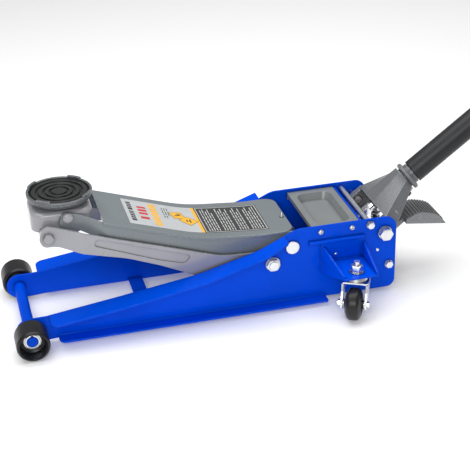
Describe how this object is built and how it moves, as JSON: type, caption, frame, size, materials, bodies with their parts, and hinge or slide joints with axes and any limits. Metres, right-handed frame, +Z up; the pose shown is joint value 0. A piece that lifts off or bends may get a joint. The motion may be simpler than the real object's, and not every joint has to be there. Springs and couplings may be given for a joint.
{
  "type": "car jack",
  "caption": "Low-profile floor jack: a hydraulic ram swings a lift arm and links to raise a level round saddle; long pump handle, foot pedal, tool tray and swivel casters.",
  "frame": {"origin": "on the floor, midway along X and Y of the whole jack with its handle", "axes": "+X from the front wheels towards the handle, +Y to the right-hand side plate, +Z up"},
  "size_m": [1.6641, 0.4136, 0.8403],
  "materials": {
    "frame_paint": "glossy",
    "arm_paint": "satin",
    "link_paint": "glossy",
    "socket_paint": "satin",
    "tray_paint": "satin",
    "pedal_paint": "satin",
    "saddle_iron": "cast",
    "saddle_rubber": "matte",
    "wheel_black": "satin",
    "caster_nylon": "matte",
    "zinc": "zinc plated",
    "bright_steel": "ground",
    "chrome": "polished",
    "cast_block": "cast",
    "tank_black": "satin",
    "black_steel": "black oxide",
    "bronze": "sintered",
    "seal_rubber": "matte",
    "handle_paint": "satin",
    "sleeve_foam": "matte",
    "grip_rubber": "matte"
  },
  "bodies": {
    "frame": {"side_plate_right": "frame_paint", "side_plate_left": "frame_paint", "front_axle": "frame_paint", "wheel_retaining_rings": "zinc", "cross_bars": "frame_paint", "rear_base_plate": "frame_paint", "tool_tray": "tray_paint", "tray_screws": "zinc", "tie_bar": "bright_steel", "frame_fasteners": "zinc", "arm_pivot_shaft": "zinc", "pivot_spacers": "zinc", "link_pivot_bolts": "zinc", "pump_block": "cast_block", "ram_cylinder": "bright_steel", "oil_reservoir": "tank_black", "oil_filler_plug": "zinc", "gland_nut": "bright_steel", "rod_seal": "seal_rubber", "plunger_spring": "black_steel", "pedal_pin": "zinc", "handle_pivot_bolts": "zinc", "caster_bracket_right": "frame_paint", "caster_bracket_left": "frame_paint", "caster_swivels": "zinc"},
    "lift_arm": {"lift_arm": "arm_paint", "arm_bushes": "bronze", "arm_pins": "link_paint"},
    "lower_links": {"lower_link_right": "link_paint", "lower_link_left": "link_paint", "link_front_bolts": "link_paint"},
    "saddle_bracket": {"saddle_bracket": "link_paint"},
    "saddle": {"saddle_cup": "saddle_iron", "saddle_pad": "saddle_rubber", "saddle_retaining_ring": "zinc"},
    "ram": {"ram_rod": "chrome", "piston_seal": "seal_rubber", "ram_crosshead": "bright_steel"},
    "handle_socket": {"handle_socket": "socket_paint", "socket_bushes": "bronze", "pump_roller": "bright_steel", "handle_lock_screw": "black_steel"},
    "handle": {"handle_lower_tube": "handle_paint", "handle_sleeve": "sleeve_foam", "handle_upper_tube": "handle_paint", "handle_joint_bolt": "zinc", "handle_grip": "grip_rubber", "release_drive": "bright_steel"},
    "release_valve": {"release_knuckle": "chrome"},
    "pump_plunger": {"pump_plunger": "bright_steel"},
    "pedal": {"foot_pedal": "pedal_paint"},
    "foot_plunger": {"foot_plunger": "bright_steel"},
    "front_wheel_right": {"front_wheel_right": "wheel_black"},
    "front_wheel_left": {"front_wheel_left": "wheel_black"},
    "caster_fork_right": {"caster_fork_right": "zinc", "caster_axle_right": "zinc"},
    "caster_fork_left": {"caster_fork_left": "zinc", "caster_axle_left": "zinc"},
    "caster_wheel_right": {"caster_wheel_right": "caster_nylon"},
    "caster_wheel_left": {"caster_wheel_left": "caster_nylon"}
  },
  "joints": [
    {"name": "lift", "type": "hinge", "parent": "frame", "child": "lift_arm", "pos_m": [-0.28384, 0, 0.1293], "axis": [0, 1, 0], "range_deg": [-23, 36]},
    {"name": "link_swing", "type": "hinge", "parent": "frame", "child": "lower_links", "pos_m": [-0.32384, 0, 0.0991], "axis": [0, 1, 0], "range_deg": [-24, 37]},
    {"name": "bracket_level", "type": "hinge", "parent": "lift_arm", "child": "saddle_bracket", "pos_m": [-0.70624, 0, 0.2385], "axis": [0, 1, 0], "range_deg": [-37, 24]},
    {"name": "saddle_turn", "type": "hinge", "parent": "saddle_bracket", "child": "saddle", "pos_m": [-0.71234, 0, 0.25], "axis": [0, 0, 1], "continuous": true},
    {"name": "ram_stroke", "type": "slide", "parent": "frame", "child": "ram", "axis": [-1, 0, 0], "range_m": [-0.027, 0.041]},
    {"name": "handle_swing", "type": "hinge", "parent": "frame", "child": "handle_socket", "pos_m": [-0.09334, 0, 0.1328], "axis": [0, -1, 0], "range_deg": [-18, 40]},
    {"name": "handle_turn", "type": "hinge", "parent": "handle_socket", "child": "handle", "pos_m": [-0.09813, 0, 0.13921], "axis": [0.8018, 0, 0.5976], "range_deg": [0, 180]},
    {"name": "release_turn", "type": "hinge", "parent": "frame", "child": "release_valve", "pos_m": [-0.09813, 0, 0.13921], "axis": [0.8018, 0, 0.5976], "range_deg": [0, 180]},
    {"name": "pump_stroke", "type": "slide", "parent": "frame", "child": "pump_plunger", "axis": [0, 0, 1], "range_m": [-0.009, 0.019], "deforming": ["plunger_spring"]},
    {"name": "pedal_press", "type": "hinge", "parent": "frame", "child": "pedal", "pos_m": [-0.09374, 0, 0.098], "axis": [0, 1, 0], "range_deg": [0, 18], "stiffness_Nm_per_rad": 2, "springref_deg": -34.38},
    {"name": "foot_pump_stroke", "type": "slide", "parent": "frame", "child": "foot_plunger", "axis": [0, 0, -1], "range_m": [0, 0.0105]},
    {"name": "front_wheel_spin_right", "type": "hinge", "parent": "frame", "child": "front_wheel_right", "pos_m": [-0.79974, 0.1246, 0.0315], "axis": [0, 1, 0], "continuous": true},
    {"name": "front_wheel_spin_left", "type": "hinge", "parent": "frame", "child": "front_wheel_left", "pos_m": [-0.79974, -0.1246, 0.0315], "axis": [0, 1, 0], "continuous": true},
    {"name": "caster_swivel_right", "type": "hinge", "parent": "frame", "child": "caster_fork_right", "pos_m": [-0.17274, 0.152, 0.06], "axis": [0, 0, 1], "continuous": true},
    {"name": "caster_swivel_left", "type": "hinge", "parent": "frame", "child": "caster_fork_left", "pos_m": [-0.17274, -0.152, 0.06], "axis": [0, 0, 1], "continuous": true},
    {"name": "caster_spin_right", "type": "hinge", "parent": "caster_fork_right", "child": "caster_wheel_right", "pos_m": [-0.18524, 0.1754, 0.032], "axis": [-0.882, -0.4712, 0], "continuous": true},
    {"name": "caster_spin_left", "type": "hinge", "parent": "caster_fork_left", "child": "caster_wheel_left", "pos_m": [-0.18524, -0.1754, 0.032], "axis": [-0.882, 0.4712, 0], "continuous": true}
  ],
  "couplings": [
    {"joint": "link_swing", "follows": "lift", "ratio": 1},
    {"joint": "bracket_level", "follows": "lift", "ratio": -1},
    {"joint": "ram_stroke", "follows": "lift", "m_per_rad": 0.0625},
    {"joint": "pump_stroke", "follows": "handle_swing", "m_per_rad": 0.0262},
    {"joint": "release_turn", "follows": "handle_turn", "ratio": 1},
    {"joint": "foot_pump_stroke", "follows": "pedal_press", "m_per_rad": 0.031}
  ]
}
